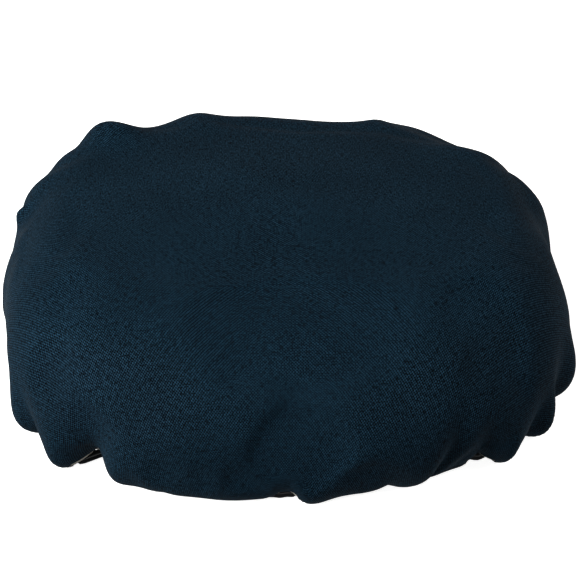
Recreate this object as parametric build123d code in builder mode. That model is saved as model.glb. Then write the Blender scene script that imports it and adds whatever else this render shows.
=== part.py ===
from build123d import *

import os
from math import copysign, cos, pi, radians, sin

# Seat cushion for an office chair: a two-layer foam core in a liner, under a gathered cover.
#
# Frame: millimetres, +Z up, the front of the seat towards -Y, +X to the right as seen from the front.
# The origin is on the resting plane, under the centre of the overall box.
#
# From the outside in: a woven cover with a backing layer, drawn in under the cushion by an elastic hem;
# a liner of two panels sewn together round the belly; a fibre wrap over the foam; a soft comfort foam
# on a firm support foam; and, inside the hem, a dotted grip mat that the cushion rests on.

# ---- Overall form --------------------------------------------------------------------------------
cushion_width = 520.0  # across the belly, left to right
cushion_depth = 488.0  # across the belly, front to back
cushion_height = 140.0  # resting plane to the start of the crown
crown_rise = 8.0  # the middle of the seat above the start of the crown
outline_power = 2.6  # 2 is an ellipse in plan, and higher is squarer
front_roll = 128.0  # the long waterfall edge under the thighs, from the belly in to the crown
back_roll = 62.0
side_roll = 62.0
belly_height = 38.0  # the widest level
under_roll = 24.0  # how far the sides draw in below the belly

# ---- Cover and its hem ---------------------------------------------------------------------------
cover_thickness = 1.4
backing_thickness = 1.2
cover_ease = 14.0  # slack between the gathered side of the cover and the liner
hem_turn = 22.0  # width of cover that lies flat under the cushion
hem_overlap = 11.0  # how far the tape covers the cover's cut edge, on both faces
tape_thickness = 1.0
elastic_width = 6.0
thread_size = 0.5
thread_inset = 2.5  # the seam's distance from the tape's outer edge

# ---- Liner, wrap and foam ------------------------------------------------------------------------
liner_thickness = 0.8
seam_width = 3.5  # the overlocked seam that stands out round the liner
seam_thickness = 1.6
wrap_thickness = 10.0
comfort_thickness = 55.0  # the soft foam, down from the middle of the crown

# ---- Grip mat ------------------------------------------------------------------------------------
dot_height = 0.8
dot_diameter = 8.0
dot_pitch = 26.0
dot_edge = 6.0  # least distance from a dot's centre to the mat's edge, over the dot's radius
mat_clearance = 9.0  # from the tape to the mat

# ---- Fits ----------------------------------------------------------------------------------------
layer_gap = 0.3  # between one layer and the next

# ---- Heights of the layers under the cushion -----------------------------------------------------
tape_bottom = dot_height
cover_bottom = tape_bottom + tape_thickness + layer_gap
cover_inner_bottom = cover_bottom + cover_thickness
backing_bottom = cover_inner_bottom + layer_gap
backing_inner_bottom = backing_bottom + backing_thickness
tape_slot_top = backing_inner_bottom + layer_gap
tape_top = tape_slot_top + tape_thickness
liner_bottom = tape_top + layer_gap
liner_inner_bottom = liner_bottom + liner_thickness
wrap_bottom = liner_inner_bottom + layer_gap
comfort_bottom = cushion_height + crown_rise - comfort_thickness

# ---- Insets of the layers from the cover's outer face --------------------------------------------
backing_inset = cover_thickness + layer_gap
backing_inner_inset = backing_inset + backing_thickness
liner_inset = backing_inner_inset + layer_gap
liner_inner_inset = liner_inset + liner_thickness
wrap_inset = liner_inner_inset + layer_gap
wrap_inner_inset = wrap_inset + wrap_thickness
foam_inset = wrap_inner_inset + layer_gap

# ---- Insets of the hem's edges from the belly ----------------------------------------------------
cover_edge = under_roll + hem_turn
tape_outer = cover_edge - hem_overlap
thread_outer = tape_outer + thread_inset
elastic_outer = cover_edge + layer_gap
elastic_inner = elastic_outer + elastic_width
tape_fold = elastic_inner + layer_gap
tape_inner = tape_fold + tape_thickness
mat_edge = tape_inner + mat_clearance

# ---- How finely the form is drawn ----------------------------------------------------------------
outline_points = 32
under_steps = 3
roll_steps = 5
crown_shares = (1.0, 0.75, 0.5, 0.25)  # the crown's levels, as shares of the outline it starts from

os.makedirs("parts", exist_ok=True)


def superellipse(turn, half_width, half_depth):
    """A point of the plan outline, at a turn in radians."""
    x = half_width * copysign(abs(cos(turn)) ** (2 / outline_power), cos(turn))
    y = half_depth * copysign(abs(sin(turn)) ** (2 / outline_power), sin(turn))
    return x, y


def outline(height, side, front, back, share=1.0):
    """The plan outline at a height, drawn in from the belly by three insets and then to a share."""
    half_width = share * (cushion_width / 2 - side)
    half_depth = share * (cushion_depth - front - back) / 2
    centre_y = (front - back) / 2
    points = []
    for step in range(outline_points):
        x, y = superellipse(2 * pi * step / outline_points, half_width, half_depth)
        points.append((x, y + centre_y))
    with BuildSketch(Plane.XY.offset(height)) as level:
        with BuildLine():
            Spline(points, periodic=True)
        make_face()
    return level.sketch


def ring_outline(height, inset):
    """The plan outline at a height, drawn in from the belly by one inset all round."""
    return outline(height, inset, inset, inset)


def cushion_form(inset, ease, bottom, mode=Mode.ADD):
    """Add or cut the form that lies an inset within the cover's outer face.

    The ease is a further inset at the sides, which fades out over the roll to the crown.  The bottom is
    the height of the form's flat underside.
    """
    sides = []
    for step in range(under_steps):
        angle = radians(90 * (under_steps - step) / under_steps)
        height = belly_height - (belly_height - bottom) * sin(angle)
        sides.append(ring_outline(height, inset + ease + (under_roll - inset) * (1 - cos(angle))))
    rise = cushion_height - inset - belly_height
    for step in range(roll_steps + 1):
        angle = radians(90 * step / roll_steps)
        height = belly_height + rise * sin(angle)
        drawn_in = 1 - cos(angle)
        base = inset + ease * cos(angle)
        side = base + (side_roll - inset) * drawn_in
        front = base + (front_roll - inset) * drawn_in
        back = base + (back_roll - inset) * drawn_in
        sides.append(outline(height, side, front, back))
    crown = []
    for share in crown_shares:
        height = cushion_height - inset + crown_rise * (1 - share**2)
        crown.append(outline(height, side_roll, front_roll, back_roll, share))
    loft(sections=sides, mode=mode)
    loft(sections=crown, mode=mode)


def dot_places():
    """The grip mat's dots, on a square grid, that lie well inside the mat's outline."""
    reach_x = cushion_width / 2 - mat_edge - dot_edge - dot_diameter / 2
    reach_y = cushion_depth / 2 - mat_edge - dot_edge - dot_diameter / 2
    columns = int(reach_x // dot_pitch)
    rows = int(reach_y // dot_pitch)
    places = []
    for column in range(-columns, columns + 1):
        for row in range(-rows, rows + 1):
            x, y = column * dot_pitch, row * dot_pitch
            if (abs(x) / reach_x) ** outline_power + (abs(y) / reach_y) ** outline_power <= 1:
                places.append((x, y))
    return places


# ---- Outer cover: the woven shell, open underneath inside its hem --------------------------------
with BuildPart() as outer_cover:
    cushion_form(0, 0, cover_bottom)
    cushion_form(cover_thickness, 0, cover_inner_bottom, Mode.SUBTRACT)
    extrude(ring_outline(0, cover_edge), amount=liner_bottom, mode=Mode.SUBTRACT)
outer_cover.part.label = "outer_cover"
export_step(outer_cover.part, "parts/outer_cover.step")

# ---- Cover backing: the pale layer inside the woven shell, cut off at the same edge --------------
with BuildPart() as cover_backing:
    cushion_form(backing_inset, 0, backing_bottom)
    cushion_form(backing_inner_inset, 0, backing_inner_bottom, Mode.SUBTRACT)
    extrude(ring_outline(0, cover_edge), amount=liner_bottom, mode=Mode.SUBTRACT)
cover_backing.part.label = "cover_backing"
export_step(cover_backing.part, "parts/cover_backing.step")

# ---- Hem tape: folded over the cut edges of the cover and its backing, with the fold inwards -----
with BuildPart() as hem_tape:
    extrude(ring_outline(tape_bottom, tape_outer), amount=tape_top - tape_bottom)
    extrude(ring_outline(tape_bottom, tape_inner), amount=tape_top - tape_bottom, mode=Mode.SUBTRACT)
    with BuildSketch(Plane.XY.offset(tape_bottom + tape_thickness)) as tape_slot:
        add(ring_outline(0, tape_outer - tape_thickness))
        add(ring_outline(0, tape_fold), mode=Mode.SUBTRACT)
    extrude(amount=tape_slot_top - tape_bottom - tape_thickness, mode=Mode.SUBTRACT)
hem_tape.part.label = "hem_tape"
export_step(hem_tape.part, "parts/hem_tape.step")

# ---- Hem elastic: a flat braid lying in the tape's fold, which gathers the hem -------------------
with BuildPart() as hem_elastic:
    with BuildSketch(Plane.XY.offset(tape_bottom + tape_thickness + layer_gap)) as elastic_ring:
        add(ring_outline(0, elastic_outer))
        add(ring_outline(0, elastic_inner), mode=Mode.SUBTRACT)
    extrude(amount=tape_slot_top - tape_bottom - tape_thickness - 2 * layer_gap)
hem_elastic.part.label = "hem_elastic"
export_step(hem_elastic.part, "parts/hem_elastic.step")

# ---- Hem thread: the seam that closes the tape on the cover, standing proud of its lower face ----
with BuildPart() as hem_thread:
    with BuildSketch(Plane.XY.offset(tape_bottom - thread_size)) as thread_ring:
        add(ring_outline(0, thread_outer))
        add(ring_outline(0, thread_outer + thread_size), mode=Mode.SUBTRACT)
    extrude(amount=thread_size)
hem_thread.part.label = "hem_thread"
export_step(hem_thread.part, "parts/hem_thread.step")

# ---- Liner: two panels that meet at the belly ----------------------------------------------------
with BuildPart() as liner_top:
    cushion_form(liner_inset, cover_ease, liner_bottom)
    cushion_form(liner_inner_inset, cover_ease, liner_inner_bottom, Mode.SUBTRACT)
    split(bisect_by=Plane.XY.offset(belly_height), keep=Keep.TOP)
liner_top.part.label = "liner_top"
export_step(liner_top.part, "parts/liner_top.step")

with BuildPart() as liner_base:
    cushion_form(liner_inset, cover_ease, liner_bottom)
    cushion_form(liner_inner_inset, cover_ease, liner_inner_bottom, Mode.SUBTRACT)
    split(bisect_by=Plane.XY.offset(belly_height), keep=Keep.BOTTOM)
liner_base.part.label = "liner_base"
export_step(liner_base.part, "parts/liner_base.step")

# ---- Liner seam: the overlocked edges of both panels, standing out just under the belly ----------
with BuildPart() as liner_seam:
    with BuildSketch(Plane.XY.offset(belly_height - seam_thickness)) as seam_ring:
        add(ring_outline(0, liner_inset + cover_ease - seam_width))
        add(ring_outline(0, liner_inset + cover_ease), mode=Mode.SUBTRACT)
    extrude(amount=seam_thickness)
liner_seam.part.label = "liner_seam"
export_step(liner_seam.part, "parts/liner_seam.step")

# ---- Fibre wrap: batting over the top and sides of the foam, open underneath ---------------------
with BuildPart() as fibre_wrap:
    cushion_form(wrap_inset, cover_ease, wrap_bottom)
    cushion_form(wrap_inner_inset, cover_ease, wrap_bottom, Mode.SUBTRACT)
fibre_wrap.part.label = "fibre_wrap"
export_step(fibre_wrap.part, "parts/fibre_wrap.step")

# ---- Foam core: soft comfort foam glued on firm support foam -------------------------------------
with BuildPart() as comfort_foam:
    cushion_form(foam_inset, cover_ease, wrap_bottom)
    split(bisect_by=Plane.XY.offset(comfort_bottom), keep=Keep.TOP)
comfort_foam.part.label = "comfort_foam"
export_step(comfort_foam.part, "parts/comfort_foam.step")

with BuildPart() as support_foam:
    cushion_form(foam_inset, cover_ease, wrap_bottom)
    split(bisect_by=Plane.XY.offset(comfort_bottom), keep=Keep.BOTTOM)
support_foam.part.label = "support_foam"
export_step(support_foam.part, "parts/support_foam.step")

# ---- Grip mat: bonded under the liner inside the hem, with moulded dots that rest on the seat ----
with BuildPart() as grip_mat:
    extrude(ring_outline(dot_height, mat_edge), amount=liner_bottom - dot_height)
    with BuildSketch(Plane.XY) as dots:
        with Locations(*dot_places()):
            Circle(dot_diameter / 2)
    extrude(amount=dot_height)
grip_mat.part.label = "grip_mat"
export_step(grip_mat.part, "parts/grip_mat.step")
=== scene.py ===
import bpy
import numpy as np
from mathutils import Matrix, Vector


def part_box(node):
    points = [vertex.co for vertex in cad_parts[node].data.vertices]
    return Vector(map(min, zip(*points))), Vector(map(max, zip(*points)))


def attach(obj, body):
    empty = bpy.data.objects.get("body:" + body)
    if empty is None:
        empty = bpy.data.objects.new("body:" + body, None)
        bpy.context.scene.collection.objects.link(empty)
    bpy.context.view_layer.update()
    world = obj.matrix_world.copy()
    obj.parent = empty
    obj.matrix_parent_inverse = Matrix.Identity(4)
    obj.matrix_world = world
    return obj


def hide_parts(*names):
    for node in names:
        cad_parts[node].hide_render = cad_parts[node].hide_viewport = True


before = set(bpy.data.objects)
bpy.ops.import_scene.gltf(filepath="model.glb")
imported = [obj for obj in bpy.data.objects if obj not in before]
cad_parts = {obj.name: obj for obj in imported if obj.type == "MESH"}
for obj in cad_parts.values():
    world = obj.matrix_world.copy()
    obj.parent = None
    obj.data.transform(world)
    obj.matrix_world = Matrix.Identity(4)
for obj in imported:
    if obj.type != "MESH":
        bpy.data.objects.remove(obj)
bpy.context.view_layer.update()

# Seat cushion: a woven cover drawn in under a foam cushion by an elastic hem.
MM = 0.001  # a millimetre in metres, which Blender works in
WHOLE_TURN = 2 * np.pi


def frame_box(node):
    """A CAD node's lowest and highest corners, in millimetres."""
    low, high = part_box(node)
    return np.array(low) / MM, np.array(high) / MM


# ---- The cushion's form, as the frame has it -----------------------------------------------------
cover_low, cover_high = frame_box("outer_cover")
liner_low, _ = frame_box("liner_base")
core_low, _ = frame_box("comfort_foam")
tape_low, tape_high = frame_box("hem_tape")
elastic_low, elastic_high = frame_box("hem_elastic")
thread_low, thread_high = frame_box("hem_thread")
_, mat_high = frame_box("grip_mat")

# Sizes are in millimetres unless a comment says otherwise.
HALF_WIDTH = (cover_high[0] - cover_low[0]) / 2
HALF_DEPTH = (cover_high[1] - cover_low[1]) / 2
OUTLINE_POWER = 2.6  # 2 is an ellipse in plan, and higher is squarer
CROWN_RISE = 8.0
CROWN_START = cover_high[2] - CROWN_RISE
FRONT_ROLL = 128.0
BACK_ROLL = 62.0
SIDE_ROLL = 62.0
BELLY_HEIGHT = 38.0
UNDER_ROLL = 24.0
HEM_TURN = 22.0  # width of cover that lies flat under the cushion
LAYER_GAP = 0.3

COVER_BOTTOM = cover_low[2]
COVER_THICKNESS = 1.4
BACKING_THICKNESS = 1.2
BACKING_INSET = COVER_THICKNESS + LAYER_GAP
COVER_EASE = 14.0  # room between the gathered side of the cover and the liner
LINER_THICKNESS = 0.8
LINER_INSET = BACKING_INSET + BACKING_THICKNESS + LAYER_GAP
LINER_BOTTOM = liner_low[2]
WRAP_THICKNESS = 10.0
WRAP_INSET = LINER_INSET + LINER_THICKNESS + LAYER_GAP
WRAP_BOTTOM = LINER_BOTTOM + LINER_THICKNESS + LAYER_GAP
FOAM_INSET = WRAP_INSET + WRAP_THICKNESS + LAYER_GAP
FOAM_JOINT = core_low[2]  # the height at which the soft foam is glued to the firm foam

# How far the cloth runs out from the middle of the seat: over the crown, down the roll to the belly,
# round under it, and along the underside to the cut edge.
RUN_CROWN = 185.0
RUN_BELLY = RUN_CROWN + 150.0
RUN_UNDER = RUN_BELLY + 50.0
RUN_EDGE = RUN_UNDER + HEM_TURN

# The gathers round the lower edge, each a valley in the cover.  turn is where it meets the hem, in
# degrees round the cushion with the front at 270; deep and wide are its size there; climb is the share
# of the way up to the crown that it runs, and lean is how many degrees it would veer in the whole of it.
GATHERS = (
    # turn, deep, wide, climb, lean
    (231.8, 27.0, 9.0, 0.50, 6.0),
    (270.8, 4.0, 5.0, 0.36, 3.0),
    (309.8, 15.0, 6.0, 0.42, -6.0),
    (219.4, 13.0, 7.0, 0.50, -8.0),
    (320.8, 15.0, 8.0, 0.45, 4.0),
    (331.5, 15.0, 9.0, 0.55, 6.0),
    (289.8, 7.0, 7.0, 0.34, 3.0),
    (297.0, 10.0, 5.0, 0.62, 14.0),
    (246.5, 3.0, 9.0, 0.50, 8.0),
    (205.0, 7.0, 10.0, 0.60, -4.0),
    (187.0, 8.0, 9.0, 0.60, 3.0),
    (160.0, 10.0, 9.0, 0.70, 3.0),
    (141.0, 10.0, 11.0, 0.80, 2.0),
    (118.0, 10.0, 10.0, 0.70, -4.0),
    (101.0, 8.0, 8.0, 0.50, 4.0),
    (82.0, 10.0, 9.0, 0.60, -3.0),
    (63.0, 9.0, 8.0, 0.55, 3.0),
    (45.0, 10.0, 9.0, 0.70, -3.0),
    (24.0, 8.0, 9.0, 0.60, 4.0),
    (4.0, 8.0, 8.0, 0.60, -3.0),
    (346.0, 6.0, 8.0, 0.50, 3.0),
)

# Lobes and hollows that the loose cover and its filling have settled into.  at is how far out along the
# cloth, out is how far it stands out, and below 0 it is a hollow.
LOBES = (
    # turn, at, half width in degrees, half length in mm, out
    (222.0, 268.0, 14.0, 50.0, 3.5),
    (275.0, 262.0, 10.0, 40.0, -3.5),
    (300.0, 262.0, 9.0, 45.0, 2.5),
    (199.0, 335.0, 7.0, 40.0, -13.5),
    (189.0, 312.0, 6.0, 40.0, -5.0),
    (173.0, 290.0, 5.0, 40.0, -4.0),
    (226.3, 362.0, 3.2, 25.0, 11.5),
    (214.5, 352.0, 3.0, 25.0, 6.0),
    (160.0, 262.0, 6.0, 40.0, 7.0),
    (148.0, 240.0, 5.0, 30.0, 6.0),
    (136.0, 225.0, 6.5, 38.0, 17.0),
    (112.0, 222.0, 7.0, 35.0, 7.0),
    (99.0, 222.0, 7.0, 30.0, 2.5),
    (78.0, 220.0, 8.0, 30.0, -2.5),
    (66.0, 222.0, 3.5, 25.0, 3.5),
    (46.0, 226.0, 10.0, 40.0, -10.0),
    (29.0, 245.0, 4.0, 30.0, -5.0),
    (17.0, 268.0, 5.0, 30.0, 3.0),
    (6.0, 300.0, 8.0, 45.0, -14.5),
    (354.0, 305.0, 5.0, 35.0, -5.0),
    (338.5, 342.0, 5.0, 30.0, 7.5),
    (325.0, 358.0, 3.5, 25.0, 10.5),
    (314.0, 361.0, 2.0, 25.0, 6.0),
    (304.0, 358.0, 4.5, 30.0, -10.0),
    (275.0, 366.0, 5.0, 22.0, 7.5),
    (270.6, 366.0, 3.0, 20.0, -4.0),
    (259.0, 364.0, 9.0, 25.0, 5.0),
    (247.0, 362.0, 5.0, 25.0, 5.0),
    (238.5, 358.0, 3.0, 20.0, 4.5),
    (166.5, 268.0, 1.3, 12.0, 6.0),
    (163.0, 288.0, 2.0, 12.0, -3.0),
)

SIDE_PUFF = 2.5  # how far the slack cover stands out all round the sides
FILLING_FILLS = 0.4  # the share of a lobe that the filling fills
FILLING_GIVES = 0.6  # the share of a gather's depth by which the filling gives

# Where the hem shows between two lobes.  There the cover's edge is drawn back, and the tape swings out.
GAPS = (
    # turn, half width in degrees, share of the edge drawn back; turn, half width and size of the swing
    (230.0, 3.2, 0.64, 226.8, 2.2, 20.0),
    (270.6, 3.0, 0.74, 269.6, 4.0, 20.0),
    (311.0, 2.6, 0.62, 313.2, 2.6, 13.0),
)


# ---- The form ------------------------------------------------------------------------------------
def smooth(value, start, end):
    """0 before start, 1 after end and an even slope between."""
    share = np.clip((value - start) / (end - start), 0, 1)
    return share * share * (3 - 2 * share)


def nearest_turn(turn, centre):
    """The angle in radians, the short way round, from a centre in degrees to each turn in radians."""
    return (turn - np.radians(centre) + np.pi) % WHOLE_TURN - np.pi


def outline(turn, half_width, half_depth, centre_y):
    """The plan outline, a superellipse."""
    across, along = np.cos(turn), np.sin(turn)
    reach = (abs(across) ** OUTLINE_POWER + abs(along) ** OUTLINE_POWER) ** (-1 / OUTLINE_POWER)
    return half_width * across * reach, half_depth * along * reach + centre_y


def form(turn, run, inset=0.0, ease=0.0, bottom=COVER_BOTTOM):
    """Points of the form that lies an inset within the cover's outer face, in millimetres.

    turn is the way round in radians and run is how far out along the cloth.
    """
    crown = np.clip(run / RUN_CROWN, 0, 1)
    rolled = np.clip((run - RUN_CROWN) / (RUN_BELLY - RUN_CROWN), 0, 1) * np.pi / 2
    under = np.clip((run - RUN_BELLY) / (RUN_UNDER - RUN_BELLY), 0, 1) * np.pi / 2
    beyond = np.maximum(run - RUN_UNDER, 0)
    drawn_in = 1 - np.sin(rolled)
    base = inset + ease * np.sin(rolled) + (UNDER_ROLL - inset) * (1 - np.cos(under)) + beyond
    side = base + (SIDE_ROLL - inset) * drawn_in
    front = base + (FRONT_ROLL - inset) * drawn_in
    back = base + (BACK_ROLL - inset) * drawn_in
    half_depth = crown * (HALF_DEPTH - (front + back) / 2)
    x, y = outline(turn, crown * (HALF_WIDTH - side), half_depth, (front - back) / 2)
    height = BELLY_HEIGHT + (CROWN_START - inset - BELLY_HEIGHT) * np.cos(rolled)
    height = height + CROWN_RISE * (1 + np.cos(np.pi * crown)) / 2
    height = height - (BELLY_HEIGHT - bottom) * np.sin(under)
    return np.stack([x, y, height], axis=-1)


def outward(turn, run, **shape):
    """Unit normals of the form, pointing out of it."""
    step_turn, step_run = 0.004, 0.6
    run = np.clip(run, 3.0, RUN_EDGE)
    round_it = form(turn + step_turn, run, **shape) - form(turn - step_turn, run, **shape)
    along_it = form(turn, run + step_run, **shape) - form(turn, run - step_run, **shape)
    normal = np.cross(along_it, round_it)
    return normal / np.maximum(np.linalg.norm(normal, axis=-1, keepdims=True), 1e-9)


def gathers(turn, run):
    """How far the gathers draw the cover in, in millimetres."""
    climbed = np.clip((RUN_UNDER - run) / (RUN_UNDER - RUN_CROWN), 0, 1)
    depth = np.zeros_like(turn)
    for centre, deep, wide, climb, lean in GATHERS:
        off = nearest_turn(turn - np.radians(lean) * climbed, centre)
        away = abs(off) * (HALF_WIDTH + HALF_DEPTH) / 2
        spread = wide * (1 + 3 * climbed)
        sharp = 1.2 + 0.8 * smooth(climbed, 0, 0.4)
        depth += deep * np.exp(-((away / spread) ** sharp)) * (1 - smooth(climbed, 0, climb))
    return depth


def lobes(turn, run):
    """How far the lobes push the cover out, in millimetres."""
    out = np.zeros_like(turn)
    for centre, at, half_width, half_length, height in LOBES:
        across = np.degrees(nearest_turn(turn, centre)) / half_width
        out += height * np.exp(-(across**2) - ((run - at) / half_length) ** 2)
    return out


def flat_underneath(run):
    """1 where the cover is free, fading to 0 where it lies flat under the cushion."""
    return 1 - smooth(run, RUN_UNDER - 15, RUN_UNDER + 5)


def cover_shift(turn, run):
    """How far the cover stands out from the plain form, in millimetres."""
    puff = smooth(run, RUN_CROWN, RUN_BELLY) * (1 - smooth(run, RUN_BELLY + 10, RUN_UNDER))
    return SIDE_PUFF * puff + (lobes(turn, run) - gathers(turn, run)) * flat_underneath(run)


def filling_shift(turn, run):
    """How far the liner, wrap and foam stand out: they follow the cover, but not all the way."""
    out = lobes(turn, run)
    filled = FILLING_FILLS * np.maximum(out, 0)
    return np.minimum(out, 0) + filled - FILLING_GIVES * gathers(turn, run)


def near_gap(turn, centre, half_width):
    """1 in the middle of a gap, fading to 0 a little past its half width."""
    away = abs(np.degrees(nearest_turn(turn, centre))) / half_width
    return 1 - smooth(away, 0.5, 1.6)


def drawn_back(turn):
    """The share of the cover's edge that is drawn back."""
    return sum(share * near_gap(turn, centre, wide) for centre, wide, share, _, _, _ in GAPS)


def tape_swing(turn):
    """How far the hem swings out."""
    return sum(swing * near_gap(turn, centre, wide) for _, _, _, centre, wide, swing in GAPS)


def waves(x, y, size, seed, count=7):
    """Soft random waves, about -1 to 1, of a size in millimetres."""
    draw = np.random.default_rng(seed)
    total = np.zeros_like(x)
    for _ in range(count):
        way, phase = draw.uniform(0, WHOLE_TURN, 2)
        pace = WHOLE_TURN / (size * draw.uniform(0.7, 1.5))
        total += np.sin((x * np.cos(way) + y * np.sin(way)) * pace + phase)
    return total / np.sqrt(count)


# ---- Mesh helpers --------------------------------------------------------------------------------
def disc(cells):
    """Turns and shares, 0 at the middle to 1 at the rim, of a square grid wrapped onto a disc."""
    steps = np.linspace(-1, 1, cells + 1)
    across, along = np.meshgrid(steps, steps, indexing="ij")
    wide = abs(across) >= abs(along)
    share = np.where(wide, abs(across), abs(along))
    slope = np.where(wide, along, across) / np.maximum(share, 1e-9)
    slope = slope * np.sign(np.where(wide, across, along))
    turn = np.where(wide, slope * np.pi / 4, np.pi / 2 - slope * np.pi / 4)
    turn = turn + np.where(np.where(wide, across, along) < 0, np.pi, 0)
    return turn.ravel(), share.ravel()


def disc_faces(cells):
    """The quads of that grid as an array, counter-clockwise from above."""
    side = cells + 1
    corner = np.arange(cells * side).reshape(cells, side)[:, :-1].ravel()
    return np.stack([corner, corner + side, corner + side + 1, corner + 1], axis=-1)


def ring_faces(columns, rows):
    """The quads, as an array, of a ring of columns of points round a closed section of rows."""
    column, row = np.meshgrid(np.arange(columns), np.arange(rows), indexing="ij")
    next_column, next_row = (column + 1) % columns, (row + 1) % rows
    corners = [
        column * rows + row,
        next_column * rows + row,
        next_column * rows + next_row,
        column * rows + next_row,
    ]
    return np.stack([corner.ravel() for corner in corners], axis=-1)


def band_faces(rings, sides, first=0):
    """The quads between rings of points, each of some sides, which start at a first index."""
    quads = []
    for near in range(first, first + (rings - 1) * sides, sides):
        for side in range(sides):
            beside = (side + 1) % sides
            quads.append((near + side, near + beside, near + sides + beside, near + sides + side))
    return quads


def capped_faces(rings, sides, first):
    """The same quads, and a cap on the first ring and on the last."""
    last = first + (rings - 1) * sides
    caps = [tuple(reversed(range(first, first + sides))), tuple(range(last, last + sides))]
    return band_faces(rings, sides, first) + caps


def smooth_mesh(name, points, faces, material):
    """A smooth-shaded mesh, from points in metres."""
    mesh = bpy.data.meshes.new(name)
    mesh.from_pydata(points, [], faces)
    mesh.polygons.foreach_set("use_smooth", [True] * len(mesh.polygons))
    mesh.materials.append(material)
    mesh.update()
    return mesh


def new_piece(name, points, faces, material):
    """A mesh, from points in millimetres, that rides on the cushion's one body."""
    mesh = smooth_mesh(name, points * MM, faces, material)
    piece = bpy.data.objects.new(name, mesh)
    bpy.context.scene.collection.objects.link(piece)
    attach(piece, "root")
    return piece


def store_uv(piece, name, places):
    """Store a place in the flat cloth, in millimetres, for each point of a piece."""
    layer = piece.data.uv_layers.new(name=name)
    loops = np.zeros(len(piece.data.loops), int)
    piece.data.loops.foreach_get("vertex_index", loops)
    layer.data.foreach_set("uv", (places[loops] * MM).ravel())


def apply_modifiers(piece):
    """Bake a piece's modifiers into its mesh."""
    depsgraph = bpy.context.evaluated_depsgraph_get()
    mesh = bpy.data.meshes.new_from_object(piece.evaluated_get(depsgraph))
    piece.modifiers.clear()
    piece.data = mesh


def thicken(piece, thickness):
    """Give a one-layer cloth its thickness, inwards."""
    shell = piece.modifiers.new("thickness", "SOLIDIFY")
    shell.thickness = thickness * MM
    shell.offset = -1
    apply_modifiers(piece)


def sweep(name, section, columns, material, path=None):
    """Sweep a closed section round the cushion.

    section holds (inset from the belly, height) pairs.  The faces point outwards where the pairs run
    clockwise, as seen with the cushion's middle to the right; those of the hem tape and the elastic
    run the other way.  path changes the arrays of insets and heights, given the turns.
    """
    turns = np.arange(columns) * WHOLE_TURN / columns
    turn = np.repeat(turns, len(section))
    inset, height = np.tile(np.array(section), (columns, 1)).T
    if path:
        inset, height = path(turn, inset, height)
    x, y = outline(turn, HALF_WIDTH - inset, HALF_DEPTH - inset, 0)
    points = np.stack([x, y, height], axis=-1)
    return new_piece(name, points, ring_faces(columns, len(section)), material)


# ---- Materials -----------------------------------------------------------------------------------
THREAD_PITCH = 1.4  # the cover's threads, in millimetres
THREAD_RELIEF = 0.35
SLUB_LENGTH = 4.545
SLUB_WIDTH = 1.111
PATCH_SIZE = 71.43  # the cloth is a little paler or darker in patches of this size


def linear(hex_colour):
    """An sRGB hex colour as linear RGBA."""
    parts = [int(hex_colour[i : i + 2], 16) / 255 for i in (1, 3, 5)]
    return [p / 12.92 if p <= 0.04045 else ((p + 0.055) / 1.055) ** 2.4 for p in parts] + [1.0]


def add_node(tree, kind, sockets=None, **settings):
    """Add a node: settings are its properties, and sockets maps its inputs to values or outputs."""
    node = tree.nodes.new(kind)
    for name, value in settings.items():
        setattr(node, name, value)
    for name, value in (sockets or {}).items():
        if isinstance(value, bpy.types.NodeSocket):
            tree.links.new(value, node.inputs[name])
        else:
            node.inputs[name].default_value = value
    return node


def new_material(name, **surface):
    """A Principled material with its shader's sockets set, such as Roughness=0.8."""
    material = bpy.data.materials.new(name)
    material.use_nodes = True
    tree = material.node_tree
    shader = tree.nodes["Principled BSDF"]
    for socket, value in surface.items():
        shader.inputs[socket.replace("_", " ")].default_value = value
    return material, tree, shader


def weave_height(tree, place, pitch):
    """Over and under of a plain weave: 1 where one thread is on top and -1 where the other is."""
    pace = np.pi / (pitch * MM)
    scaled = add_node(tree, "ShaderNodeVectorMath", {0: place, "Scale": pace}, operation="SCALE")
    axes = add_node(tree, "ShaderNodeSeparateXYZ", {0: scaled.outputs[0]})
    warp = add_node(tree, "ShaderNodeMath", {0: axes.outputs[0]}, operation="SINE").outputs[0]
    weft = add_node(tree, "ShaderNodeMath", {0: axes.outputs[1]}, operation="SINE").outputs[0]
    return add_node(tree, "ShaderNodeMath", {0: warp, 1: weft}, operation="MULTIPLY").outputs[0]


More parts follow.
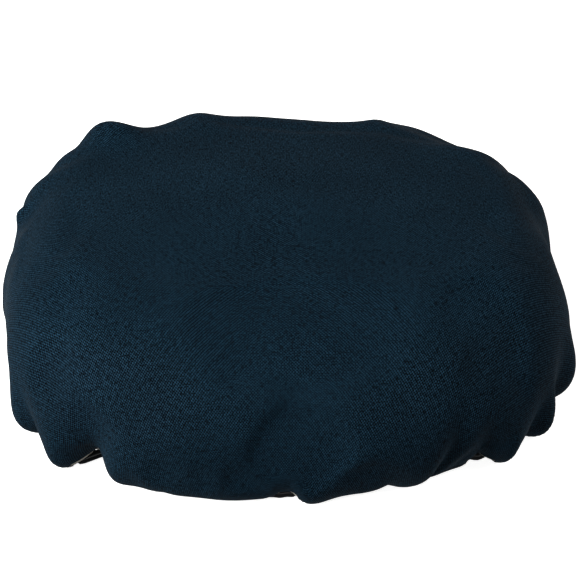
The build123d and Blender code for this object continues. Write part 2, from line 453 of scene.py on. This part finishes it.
def woven_polyester():
    """Plain-woven polyester upholstery, piece-dyed.

    A lighter teal thread crosses a near-black navy one, so the cloth is finely flecked, and slubs in
    both threads make it faintly streaky.  It is matt, with a slight grey bloom of fibre ends where it
    turns away.
    """
    material, tree, shader = new_material(
        "plain_woven_polyester",
        Roughness=0.8,
        Specular_IOR_Level=0.02,
        Sheen_Weight=0.004,
        Sheen_Roughness=0.35,
        Sheen_Tint=linear("#7fa0b2"),
    )
    flat = add_node(tree, "ShaderNodeUVMap", uv_map="cloth_flat")
    over = weave_height(tree, flat.outputs[0], THREAD_PITCH)
    thread = add_node(tree, "ShaderNodeMapRange", {0: over, "From Min": -0.45, "From Max": 0.55})
    dyes = {0: thread.outputs[0], 6: linear("#010204"), 7: linear("#182f3e")}
    colour = add_node(tree, "ShaderNodeMix", dyes, data_type="RGBA")
    slubs = []
    long, across = 1 / (SLUB_LENGTH * MM), 1 / (SLUB_WIDTH * MM)
    for stretch in ((long, across, 1.0), (across, long, 1.0)):
        along = add_node(tree, "ShaderNodeMapping", {"Vector": flat.outputs[0], "Scale": stretch})
        noise = {"Vector": along.outputs[0], "Scale": 1.0, "Detail": 1.0}
        slubs.append(add_node(tree, "ShaderNodeTexNoise", noise).outputs[0])
    streak = add_node(tree, "ShaderNodeMath", {0: slubs[0], 1: slubs[1]}, operation="ADD")
    shade = add_node(
        tree,
        "ShaderNodeMapRange",
        {0: streak.outputs[0], "From Min": 0.78, "From Max": 1.22, "To Min": 0.25, "To Max": 1.75},
    )
    cloudy = {"Vector": flat.outputs[0], "Scale": 1 / (PATCH_SIZE * MM), "Detail": 3.0}
    worn = add_node(tree, "ShaderNodeTexNoise", cloudy)
    patch = add_node(
        tree,
        "ShaderNodeMapRange",
        {0: worn.outputs[0], "From Min": 0.35, "From Max": 0.65, "To Min": 0.9, "To Max": 1.12},
    )
    both = {0: shade.outputs[0], 1: patch.outputs[0]}
    tone = add_node(tree, "ShaderNodeMath", both, operation="MULTIPLY").outputs[0]
    dyed = add_node(tree, "ShaderNodeHueSaturation", {"Color": colour.outputs[2], "Value": tone})
    tree.links.new(dyed.outputs[0], shader.inputs["Base Color"])
    lump = add_node(tree, "ShaderNodeMath", {0: over}, operation="ABSOLUTE").outputs[0]
    raised = {"Height": lump, "Strength": 0.6, "Distance": THREAD_RELIEF * MM}
    bump = add_node(tree, "ShaderNodeBump", raised)
    tree.links.new(bump.outputs[0], shader.inputs["Normal"])
    return material


def finely_textured(name, dark, light, grain, relief, roughness, kind="ShaderNodeTexNoise"):
    """A matt material whose tone and relief, in millimetres, follow one texture of a fine grain."""
    material, tree, shader = new_material(name, Roughness=roughness)
    place = add_node(tree, "ShaderNodeTexCoord")
    texture = add_node(tree, kind, {"Vector": place.outputs["Object"], "Scale": 1 / (grain * MM)})
    fine = texture.outputs[0]
    shades = {0: fine, 6: linear(dark), 7: linear(light)}
    colour = add_node(tree, "ShaderNodeMix", shades, data_type="RGBA")
    tree.links.new(colour.outputs[2], shader.inputs["Base Color"])
    bump = add_node(tree, "ShaderNodeBump", {"Height": fine, "Strength": 0.6, "Distance": relief * MM})
    tree.links.new(bump.outputs[0], shader.inputs["Normal"])
    return material


def brushed_backing():
    """Brushed polyester bonded inside the cover: cream, soft and faintly hairy."""
    return finely_textured("brushed_polyester_backing", "#cfc8ba", "#f1ece1", 0.9, 0.25, 0.95)


def twill_tape():
    """Black polyester binding tape, with a fine rib."""
    return finely_textured("twill_binding_tape", "#07080a", "#14171a", 0.8, 0.2, 0.8)


def braided_elastic():
    """Braided elastic: white polyester over rubber cores."""
    return finely_textured("braided_elastic", "#c9c8c2", "#efeee9", 0.7, 0.2, 0.75)


def sewing_thread():
    """Spun polyester sewing thread, dyed to go with the cover."""
    return finely_textured("spun_polyester_thread", "#0c151c", "#22343f", 0.3, 0.1, 0.7)


def liner_cotton():
    """Unbleached cotton percale."""
    return finely_textured("cotton_percale", "#d9d2c2", "#f0ebdf", 0.5, 0.1, 0.9)


def overlock_thread():
    """White overlocking thread."""
    return finely_textured("overlock_thread", "#d8d6cf", "#f4f3ef", 0.4, 0.15, 0.8)


def batting():
    """Polyester batting: white, lofty and cloudy."""
    return finely_textured("polyester_batting", "#dedfdd", "#fafaf8", 3.0, 1.2, 1.0)


def comfort_foam():
    """Soft open-cell polyurethane foam, cut: cream, with fine pores."""
    return finely_textured(
        "soft_polyurethane_foam", "#b9a878", "#efe4bd", 1.3, 0.5, 0.95, kind="ShaderNodeTexVoronoi"
    )


def support_foam():
    """Firm open-cell polyurethane foam, cut: blue grey, with fine pores."""
    return finely_textured(
        "firm_polyurethane_foam", "#6f7f88", "#a9b8bf", 1.0, 0.4, 0.95, kind="ShaderNodeTexVoronoi"
    )


def moulded_mat():
    """Moulded PVC foam mat: charcoal, slightly shiny, with a fine grain."""
    return finely_textured("moulded_pvc_foam", "#101214", "#1f2225", 1.2, 0.15, 0.6)


def lit_acrylic():
    """A studio light table: matt white acrylic, lit faintly from behind, so that shadows stay pale."""
    material, _, shader = new_material("light_table_acrylic", Roughness=0.9, Emission_Strength=0.93)
    shader.inputs["Base Color"].default_value = linear("#f6f6f4")
    shader.inputs["Emission Color"].default_value = linear("#ffffff")
    return material


# ---- Cover and backing ---------------------------------------------------------------------------
COVER_CELLS = 184
CROWN_SHARE = 0.3  # the share of the grid's rows that lie on the crown
SETTLING_FRAMES = 20
SETTLING_TOP = 2.0  # the furthest that the cloth settles on the crown
SETTLING_SIDE = 4.5  # and round the sides
SMOOTHING_PASSES = 6
HELD_FROM = RUN_BELLY + 15  # the hem begins to hold the cloth here as it settles
HELD_AFTER = RUN_UNDER - 10  # and holds it fast from here on
FLOOR_ROOM = 0.6
FLOOR_EASING = 1.5
BACKING_SPARE = 0.14  # the share of the cover's drawing back by which the backing stays longer


def cover_grid():
    """Turns and runs of the cover's points, closer together over the sides than over the crown."""
    turn, share = disc(COVER_CELLS)
    crown = share / CROWN_SHARE * RUN_CROWN
    side = RUN_CROWN + (share - CROWN_SHARE) / (1 - CROWN_SHARE) * (RUN_EDGE - RUN_CROWN)
    return turn, np.where(share < CROWN_SHARE, crown, side)


def cloth_length(turn, run):
    """How far each point is from the middle of the seat along the cloth, in millimetres."""
    turns = np.linspace(-np.pi, np.pi, 181)
    runs = np.linspace(0, RUN_EDGE, 140)
    grid_turn, grid_run = np.meshgrid(turns, runs, indexing="ij")
    steps = np.linalg.norm(np.diff(form(grid_turn, grid_run), axis=1), axis=-1)
    length = np.concatenate([np.zeros((len(turns), 1)), np.cumsum(steps, axis=1)], axis=1)
    column = (nearest_turn(turn, 0) + np.pi) / WHOLE_TURN * (len(turns) - 1)
    row = run / RUN_EDGE * (len(runs) - 1)
    low_column = np.clip(column.astype(int), 0, len(turns) - 2)
    low_row = np.clip(row.astype(int), 0, len(runs) - 2)
    part_column, part_row = column - low_column, row - low_row

    def at_column(step):
        """The length between two rows, on the column before each point (0) or after it (1)."""
        start, end = length[low_column + step, low_row], length[low_column + step, low_row + 1]
        return start * (1 - part_row) + end * part_row

    return at_column(0) * (1 - part_column) + at_column(1) * part_column


def cloth_flat(turn, run):
    """Where each point of the cover lay in the flat cloth before it was gathered, in millimetres."""
    x, y = outline(turn, HALF_WIDTH, HALF_DEPTH, 0)
    way = np.stack([x, y], axis=-1) / np.hypot(x, y)[:, None]
    return way * cloth_length(turn, run)[:, None]


def edge_run(turn, run, spare):
    """The run of the cloth where its edge is drawn back, all but a spare part of that."""
    kept = 1 - drawn_back(turn) * (1 - spare)
    return np.where(run > RUN_BELLY, RUN_BELLY + (run - RUN_BELLY) * kept, run)


def cloth_points(spare, inset=0.0):
    """The cover's points, or those of its backing, which lies an inset within it."""
    turn, run = cover_grid()
    run = edge_run(turn, run, spare)
    shape = {"inset": inset, "bottom": COVER_BOTTOM + inset}
    points = form(turn, run, **shape)
    points += outward(turn, run, **shape) * cover_shift(turn, run)[:, None]
    return points


def rest_on_floor(points, inset=0.0):
    """Keep the points just above the floor, easing into it."""
    lowest = FLOOR_ROOM + inset
    above = points[:, 2] - lowest
    points[:, 2] = lowest + (above + np.sqrt(above**2 + FLOOR_EASING**2)) / 2
    return points


def even_out(moved):
    """Smooth the small zigzags out of how the cover's points move, apart from those at its edge."""
    grid = moved.reshape(COVER_CELLS + 1, COVER_CELLS + 1, 3)
    for _ in range(SMOOTHING_PASSES):
        beside = grid[:-2, 1:-1] + grid[2:, 1:-1] + grid[1:-1, :-2] + grid[1:-1, 2:]
        grid[1:-1, 1:-1] = grid[1:-1, 1:-1] / 2 + beside / 8
    return grid.reshape(-1, 3)


def slack_cloth(points, faces, held_weights):
    """A cloth object on the form, held at its hem, slack everywhere else and blown up a little."""
    mesh = bpy.data.meshes.new("settling")
    mesh.from_pydata(points * MM, [], faces)
    cloth = bpy.data.objects.new("settling", mesh)
    bpy.context.scene.collection.objects.link(cloth)
    held = cloth.vertex_groups.new(name="held")
    for index, weight in enumerate(held_weights.tolist()):
        held.add([index], weight, "REPLACE")
    settling = cloth.modifiers.new("settling", "CLOTH")
    woven = settling.settings
    woven.quality = 5
    woven.mass = 0.4
    woven.tension_stiffness = 12
    woven.compression_stiffness = 12
    woven.shear_stiffness = 4
    woven.bending_stiffness = 0.6
    woven.use_pressure = True
    woven.uniform_pressure_force = 1.0
    woven.shrink_min = -0.035  # below 0, the cloth is that much bigger than the form it lies on
    woven.vertex_group_mass = "held"
    woven.effector_weights.gravity = 0
    settling.collision_settings.use_collision = False
    settling.point_cache.frame_end = SETTLING_FRAMES
    return cloth


def settle(points, faces):
    """Let the cover settle as slack cloth over its filling, and give how far each point moves."""
    _, run = cover_grid()
    cloth = slack_cloth(points, faces, smooth(run, HELD_FROM, HELD_AFTER))
    for step in range(1, SETTLING_FRAMES + 1):
        bpy.context.scene.frame_set(step)
    settled = cloth.evaluated_get(bpy.context.evaluated_depsgraph_get()).data
    where = np.zeros(len(points) * 3)
    settled.vertices.foreach_get("co", where)
    moved = even_out(where.reshape(-1, 3) / MM - points)
    bpy.data.meshes.remove(cloth.data)
    bpy.context.scene.frame_set(1)
    far = np.linalg.norm(moved, axis=1)
    most = SETTLING_TOP + (SETTLING_SIDE - SETTLING_TOP) * smooth(run, RUN_CROWN, RUN_BELLY)
    return moved * (most * np.tanh(far / most) / np.maximum(far, 1e-9))[:, None]


def make_cover():
    """The woven cover and the backing bonded inside it, which settle as one."""
    faces = disc_faces(COVER_CELLS)
    points = cloth_points(0.0)
    moved = settle(points, faces)
    outer = rest_on_floor(points + moved)
    cover = new_piece("outer_cover_cloth", outer, faces, woven_polyester())
    store_uv(cover, "cloth_flat", cloth_flat(*cover_grid()))
    thicken(cover, COVER_THICKNESS)
    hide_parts("outer_cover")
    inner = rest_on_floor(cloth_points(BACKING_SPARE, BACKING_INSET) + moved, BACKING_INSET)
    backing = new_piece("cover_backing_cloth", inner, faces, brushed_backing())
    thicken(backing, BACKING_THICKNESS)
    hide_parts("cover_backing")


# ---- Hem -----------------------------------------------------------------------------------------
TAPE_OUTER = HALF_WIDTH - tape_high[0]
TAPE_WALL = 1.0
TAPE_WIDTH = 18.6
ELASTIC_OUTER = HALF_WIDTH - elastic_high[0]
ELASTIC_WIDTH = 6.0
THREAD_INSET = HALF_WIDTH - thread_high[0]
PUCKERS = ((140, 0.35, 0.0), (61, 0.5, 1.3))  # how many go round the hem, their depth and phase


def hem_path(turn, inset, height):
    """The hem swings out at the gaps, and puckers a little all the way round."""
    pucker = sum(deep * np.sin(turn * count + phase) for count, deep, phase in PUCKERS)
    return inset - tape_swing(turn) + pucker, height


def make_hem_tape():
    """A tape folded over the cut edges, open outwards."""
    low, high = tape_low[2], tape_high[2]
    rounding = 0.3
    outer = (high - low) / 2
    centre, middle = TAPE_OUTER + TAPE_WIDTH - outer, (low + high) / 2

    def fold(radius):
        """A half round at the tape's fold, from its lower side to its upper side."""
        bends = np.radians(np.linspace(-90, 90, 9))
        return [(centre + radius * np.cos(b), middle + radius * np.sin(b)) for b in bends]

    section = [(TAPE_OUTER, low + rounding), (TAPE_OUTER + rounding, low)]
    section += fold(outer)
    section += [(TAPE_OUTER + rounding, high), (TAPE_OUTER, high - rounding)]
    section += [(TAPE_OUTER, high - TAPE_WALL)]
    section += reversed(fold(outer - TAPE_WALL))
    section += [(TAPE_OUTER, low + TAPE_WALL)]
    piece = sweep("hem_tape_folded", section, 720, twill_tape(), hem_path)
    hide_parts("hem_tape")


def make_hem_elastic():
    """A flat braid with ribs along it, lying in the tape's fold."""
    low, high = elastic_low[2], elastic_high[2]
    ribs, rise, corner = 5, 0.25, 0.5
    share = np.linspace(0, 1, 4 * ribs + 1)[1:-1]
    across = ELASTIC_OUTER + ELASTIC_WIDTH * share
    ridge = rise * (1 - np.cos(share * ribs * WHOLE_TURN)) / 2
    inner = ELASTIC_OUTER + ELASTIC_WIDTH
    section = [(ELASTIC_OUTER, low + corner)]
    section += [(a, low + rise - r) for a, r in zip(across, ridge)]
    section += [(inner, low + corner), (inner, high - corner)]
    section += [(a, high - rise + r) for a, r in zip(across[::-1], ridge)]
    section += [(ELASTIC_OUTER, high - corner)]
    piece = sweep("hem_elastic_braid", section, 480, braided_elastic(), hem_path)
    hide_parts("hem_elastic")


def make_hem_thread():
    """Lockstitches under the tape, each a short tapered arch of thread."""
    stitches, rings, sides = 320, 6, 6
    fill = 0.78  # the share of its pitch that a stitch fills
    blunt = 0.06  # how blunt its ends are, 0 being a point
    arch = 0.8  # how far its ends rise above its middle, as a share of its radius
    radius = (thread_high[2] - thread_low[2]) / 2
    counts = np.arange(stitches), np.arange(rings), np.arange(sides)
    stitch, ring, side = np.meshgrid(*counts, indexing="ij")
    along = ring / (rings - 1)
    turn = (stitch + 0.5 + (along - 0.5) * fill) * WHOLE_TURN / stitches
    girth = radius * np.sqrt(np.sin(np.pi * (blunt + (1 - 2 * blunt) * along)))
    angle = side * WHOLE_TURN / sides
    lift = arch * radius * (1 - np.sin(np.pi * along))
    inset = THREAD_INSET + radius + girth * np.cos(angle)
    height = thread_low[2] + radius + girth * np.sin(angle) + lift
    inset, height = hem_path(turn, inset, height)
    x, y = outline(turn, HALF_WIDTH - inset, HALF_DEPTH - inset, 0)
    points = np.stack([x, y, height], axis=-1).reshape(-1, 3)
    faces = []
    for first in range(0, len(points), rings * sides):
        faces += capped_faces(rings, sides, first)
    piece = new_piece("hem_lockstitch", points, faces, sewing_thread())
    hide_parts("hem_thread")


# ---- Liner, wrap and foam ------------------------------------------------------------------------
INNER_CELLS = 96
RIM_SHARE = 0.999  # a point of the grid with a share above this is on its rim
GLUE = 0.1  # half the thickness of the glue between the foams


def upper_shell(name, inset, bottom, thickness, last_run, seed, lumps, material):
    """A soft layer over the top and sides, out to a last run, dented where the cover is gathered."""
    turn, share = disc(INNER_CELLS)
    run = share * last_run
    shape = {"inset": inset, "ease": COVER_EASE, "bottom": bottom}
    base = form(turn, run, **shape)
    lumpy = lumps * (1 + waves(base[:, 0], base[:, 1], size=60, seed=seed))
    shift = filling_shift(turn, run) - lumpy * smooth(run, RUN_CROWN, RUN_BELLY)
    points = base + outward(turn, run, **shape) * shift[:, None]
    piece = new_piece(name, points, disc_faces(INNER_CELLS), material)
    thicken(piece, thickness)
    return piece


def base_points(turn, share, inset, bottom):
    """The lower half of an inner layer: share 0 is the middle of its underside, and 1 the belly."""
    flat_share = 0.8
    flat = np.clip(share / flat_share, 0, 1)
    under = np.clip((share - flat_share) / (1 - flat_share), 0, 1) * np.pi / 2
    drawn = inset + COVER_EASE + (UNDER_ROLL - inset) * (1 - np.sin(under))
    x, y = outline(turn, flat * (HALF_WIDTH - drawn), flat * (HALF_DEPTH - drawn), 0)
    height = bottom + (BELLY_HEIGHT - bottom) * (1 - np.cos(under))
    run = RUN_BELLY + (1 - under / (np.pi / 2)) * (RUN_UNDER - RUN_BELLY)
    push = filling_shift(turn, run) * smooth(share, flat_share, 0.9)
    return np.stack([x + push * np.cos(turn), y + push * np.sin(turn), height], axis=-1)


def make_liner():
    """The inner bag's top panel, and its base panel, which turns up to meet it at the belly."""
    top = upper_shell(
        "liner_top_panel",
        LINER_INSET,
        LINER_BOTTOM,
        LINER_THICKNESS,
        last_run=RUN_BELLY,
        seed=3,
        lumps=0.4,
        material=liner_cotton(),
    )
    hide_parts("liner_top")
    turn, share = disc(INNER_CELLS)
    points = base_points(turn, share, LINER_INSET, LINER_BOTTOM)
    faces = disc_faces(INNER_CELLS)[:, ::-1]
    base = new_piece("liner_base_panel", points, faces, top.data.materials[0])
    thicken(base, LINER_THICKNESS)
    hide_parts("liner_base")


def make_liner_seam():
    """The liner's overlocked edge: slanting loops of thread over a folded flange."""
    width, thickness = 3.5, 1.6
    loops, loop_height, slant = 480, 0.18, 2.5
    inner = LINER_INSET + COVER_EASE
    middle = BELLY_HEIGHT - thickness / 2

    def overlock(turn, inset, height):
        """Follow the filling, with the loops raised more and more towards the flange's edge."""
        out = (inner - inset) / width
        raised = loop_height * np.sin(turn * loops + out * slant) * np.sign(height - middle) * out
        return inset - filling_shift(turn, np.full_like(turn, RUN_BELLY)), height + raised

    profile = [(0.0, 0.6), (1.2, 0.6), (2.6, 0.55), (width, 0.2)]  # how far out, and half as thick
    section = [(inner - out, middle - up) for out, up in profile]
    section += [(inner - out, middle + up) for out, up in reversed(profile)]
    thread = overlock_thread()
    piece = sweep("liner_overlocked_seam", section, 1920, thread, overlock)
    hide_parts("liner_seam")


def make_fibre_wrap():
    """The batting over the foam's top and sides."""
    piece = upper_shell(
        "fibre_wrap_batting",
        WRAP_INSET,
        WRAP_BOTTOM,
        WRAP_THICKNESS,
        last_run=RUN_UNDER,
        seed=5,
        lumps=0.5,
        material=batting(),
    )
    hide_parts("fibre_wrap")


def foam_face(turn, run):
    """The foam's outer face, which gives where the cover presses in."""
    shape = {"inset": FOAM_INSET, "ease": COVER_EASE, "bottom": WRAP_BOTTOM}
    return form(turn, run, **shape) + outward(turn, run, **shape) * filling_shift(turn, run)[:, None]


def flat_cut(turn, share, run, height):
    """A sawn face across the foam at a height, very slightly uneven, out to the outer face at a run."""
    points = foam_face(turn, np.full_like(turn, run)) * share[:, None]
    uneven = 0.15 * waves(points[:, 0], points[:, 1], size=25, seed=11)
    points[:, 2] = np.where(share < RIM_SHARE, height + uneven, height)
    return points


def make_foam_block(name, upper, lower, material, node):
    """A block closed by an upper and a lower sheet of points, which meet at their rims."""
    _, share = disc(INNER_CELLS)
    inside = share < RIM_SHARE
    below = np.where(inside, len(upper) + np.cumsum(inside) - 1, np.arange(len(upper)))
    faces = disc_faces(INNER_CELLS)
    faces = np.concatenate([faces, below[faces[:, ::-1]]])
    piece = new_piece(name, np.concatenate([upper, lower[inside]]), faces, material)
    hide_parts(node)


def make_foams():
    """The two foams: the firm block below and the soft block above, glued together."""
    turn, share = disc(INNER_CELLS)
    rolled = np.arccos((FOAM_JOINT - BELLY_HEIGHT) / (CROWN_START - FOAM_INSET - BELLY_HEIGHT))
    joint = RUN_CROWN + rolled / (np.pi / 2) * (RUN_BELLY - RUN_CROWN)
    soft_top = foam_face(turn, share * joint)
    soft_top[:, 2] = np.maximum(soft_top[:, 2], FOAM_JOINT + GLUE)
    soft_base = flat_cut(turn, share, joint, FOAM_JOINT + GLUE)
    make_foam_block("comfort_foam_block", soft_top, soft_base, comfort_foam(), "comfort_foam")
    side = np.clip(2 * share - 1, 0, 1)  # the outer half of the grid lies on the firm block's side
    firm_top = np.where(
        share[:, None] < 0.5,
        flat_cut(turn, 2 * share, joint, FOAM_JOINT - GLUE),
        foam_face(turn, joint + side * (RUN_UNDER - joint)),
    )
    firm_top[:, 2] = np.clip(firm_top[:, 2], WRAP_BOTTOM, FOAM_JOINT + GLUE / 2)
    firm_base = flat_cut(turn, share, RUN_UNDER, WRAP_BOTTOM)
    make_foam_block("support_foam_block", firm_top, firm_base, support_foam(), "support_foam")


# ---- Grip mat ------------------------------------------------------------------------------------
MAT_ROUNDING = 0.8  # how far the mat's two faces round over at its edge
DOT_DIAMETER = 8.0
DOT_PITCH = 26.0
DOT_EDGE = 6.0
DOT_HEIGHT = 0.8
DOT_ROOT = 0.1  # how far a dot runs up into the mat
DOT_TIP = 0.62  # the width of its flat tip, as a share of its diameter
DOT_RINGS = 4
DOT_SIDES = 16


def mat_slab():
    """The mat's points and faces without its dots: two sheets and the rim between them."""
    half_x, half_y, top = mat_high
    turn, share = disc(INNER_CELLS)
    x, y = outline(turn, share * half_x, share * half_y, 0)
    rounded = MAT_ROUNDING * smooth(share, 0.985, 1.0)
    upper = np.stack([x, y, top - rounded], axis=-1)
    lower = np.stack([x, y, DOT_HEIGHT + rounded], axis=-1)
    count = len(upper)
    rim = np.flatnonzero(share > RIM_SHARE)
    rim = rim[np.argsort(nearest_turn(turn[rim], 0))]
    following = np.roll(rim, -1)
    wall = np.stack([rim, rim + count, following + count, following], axis=-1)
    sheet = disc_faces(INNER_CELLS)
    faces = np.concatenate([sheet, sheet[:, ::-1] + count, wall])
    return np.concatenate([upper, lower]), faces.tolist()


def dot_places():
    """The middles of the dots, on a square grid, as many as the mat's outline has room for."""
    margin = DOT_EDGE + DOT_DIAMETER / 2
    reach_x, reach_y = mat_high[0] - margin, mat_high[1] - margin
    most_x, most_y = int(reach_x // DOT_PITCH), int(reach_y // DOT_PITCH)
    places = []
    for column in range(-most_x, most_x + 1):
        for row in range(-most_y, most_y + 1):
            x, y = column * DOT_PITCH, row * DOT_PITCH
            if abs(x / reach_x) ** OUTLINE_POWER + abs(y / reach_y) ** OUTLINE_POWER <= 1:
                places.append((x, y))
    return places


def dot_points(x, y):
    """A domed dot: rings of points from just inside the mat down to its flat tip."""
    tilts = np.radians(np.linspace(0, 90, DOT_RINGS))
    angles = -np.arange(DOT_SIDES) * WHOLE_TURN / DOT_SIDES
    tilt, angle = np.meshgrid(tilts, angles, indexing="ij")
    radius = DOT_DIAMETER / 2 * (DOT_TIP + (1 - DOT_TIP) * np.cos(tilt))
    height = (DOT_HEIGHT + DOT_ROOT) * (1 - np.sin(tilt))
    dot = np.stack([x + radius * np.cos(angle), y + radius * np.sin(angle), height], axis=-1)
    return dot.reshape(-1, 3)


def make_grip_mat():
    """A mat with domed dots moulded on its underside."""
    slab, faces = mat_slab()
    dots = [dot_points(x, y) for x, y in dot_places()]
    for number in range(len(dots)):
        first = len(slab) + number * DOT_RINGS * DOT_SIDES
        faces += capped_faces(DOT_RINGS, DOT_SIDES, first)
    points = np.concatenate([slab, *dots])
    piece = new_piece("grip_mat_moulded", points, faces, moulded_mat())
    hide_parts("grip_mat")


make_cover()
make_hem_tape()
make_hem_elastic()
make_hem_thread()
make_liner()
make_liner_seam()
make_fibre_wrap()
make_foams()
make_grip_mat()


# ---- Floor, light and camera ---------------------------------------------------------------------
# These sizes are in metres.
TABLE_TOP = -0.0003  # just under the grip dots
TABLE_FLAT = 4.0
TABLE_BEND = 3.0
TABLE_RIM = 6.0
CUSHION_MIDDLE = Vector((0, 0, 0.06))
CAMERA_TARGET = Vector((0.0055, 0, 0.06))
CAMERA_DISTANCE = 1.737
CAMERA_ELEVATION = np.radians(34)


def make_stage():
    """A round light table that curves up into an even white surround."""
    bends = np.radians(np.linspace(0, 90, 10))
    radii = [0.0, *(TABLE_FLAT + TABLE_BEND * np.sin(bends)), TABLE_FLAT + TABLE_BEND]
    heights = [TABLE_TOP, *(TABLE_TOP + TABLE_BEND * (1 - np.cos(bends))), TABLE_RIM]
    turns = -np.linspace(0, WHOLE_TURN, 64, endpoint=False)
    points = [(r * np.cos(t), r * np.sin(t), h) for r, h in zip(radii, heights) for t in turns]
    faces = band_faces(len(radii), len(turns))
    mesh = smooth_mesh("light_table", points, faces, lit_acrylic())
    table = bpy.data.objects.new("light_table", mesh)
    table.visible_diffuse = False  # black card round the cushion: no light bounces up from the table
    bpy.context.scene.collection.objects.link(table)
    world = bpy.data.worlds.new("studio")
    world.use_nodes = True
    surround = world.node_tree.nodes["Background"]
    surround.inputs["Color"].default_value = linear("#ffffff")
    surround.inputs["Strength"].default_value = 0.09
    bpy.context.scene.world = world


def add_lamp(name, place, size, watts):
    """A square soft light that faces the cushion."""
    lamp = bpy.data.lights.new(name, "AREA")
    lamp.size = size
    lamp.energy = watts
    holder = bpy.data.objects.new(name, lamp)
    holder.location = place
    holder.rotation_mode = "QUATERNION"
    holder.rotation_quaternion = (CUSHION_MIDDLE - Vector(place)).to_track_quat("-Z", "Y")
    bpy.context.scene.collection.objects.link(holder)


def add_camera():
    """A long lens, square on to the front and looking down on the seat."""
    back = Vector((0, -np.cos(CAMERA_ELEVATION), np.sin(CAMERA_ELEVATION)))
    camera = bpy.data.cameras.new("camera")
    camera.sensor_width = 36
    camera.lens = 115
    holder = bpy.data.objects.new("camera", camera)
    holder.location = CAMERA_TARGET + back * CAMERA_DISTANCE
    holder.rotation_mode = "QUATERNION"
    holder.rotation_quaternion = (-back).to_track_quat("-Z", "Y")
    bpy.context.scene.collection.objects.link(holder)
    bpy.context.scene.camera = holder


make_stage()
add_lamp("key_light", (-1.6, -1.05, 1.3), 1.2, 80)
add_lamp("fill_light", (1.6, -0.1, 1.4), 1.4, 15)
add_camera()
bpy.context.scene.view_settings.view_transform = "Standard"
